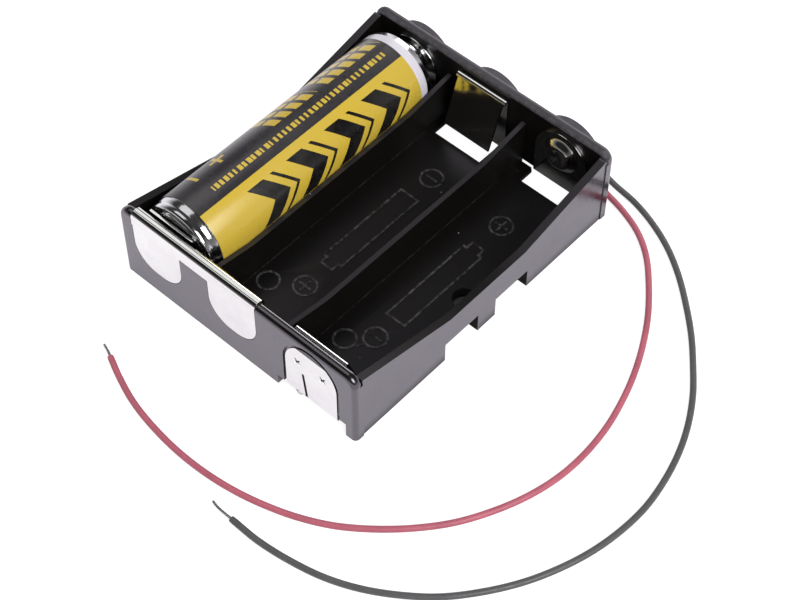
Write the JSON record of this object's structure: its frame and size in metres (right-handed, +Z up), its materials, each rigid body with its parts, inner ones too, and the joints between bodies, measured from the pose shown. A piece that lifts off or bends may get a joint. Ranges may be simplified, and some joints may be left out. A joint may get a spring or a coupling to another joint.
{
  "type": "cylindrical cell holder",
  "caption": "Open tray holder for AA size cells side by side, with formed sheet contacts, two soldered flying leads, one cell fitted and the other bays empty",
  "frame": {"origin": "Middle of the holder in plan, counting its bosses and not its free leads, on the ground that it stands on", "axes": "+X across the bays, from the filled bay to the outer empty bay; +Y along the cells, toward the wall that the leads come out of; +Z up"},
  "size_m": [0.0853, 0.0871, 0.0162],
  "materials": {
    "tray_plastic": "black injection moulding, fairly glossy",
    "contact_nickel": "bright nickel plated steel sheet",
    "cell_label": "printed plastic sleeve over a steel can, bare metal at both ends",
    "red_insulation": "soft PVC",
    "black_insulation": "soft PVC",
    "tinned_wire": "tinned copper strands, twisted",
    "solder": "smooth solder"
  },
  "bodies": {
    "root": {"tray": "tray_plastic", "near_double_contact": "contact_nickel", "far_double_contact": "contact_nickel", "far_single_contact": "contact_nickel", "near_single_contact": "contact_nickel", "cell": "cell_label", "red_lead_run": "red_insulation", "black_lead_run": "black_insulation", "red_run_conductor": "tinned_wire", "black_run_conductor": "tinned_wire", "red_solder_joint": "solder", "black_solder_joint": "solder", "red_lead": "red_insulation", "black_lead": "black_insulation", "red_lead_tip": "tinned_wire", "black_lead_tip": "tinned_wire"}
  },
  "joints": []
}
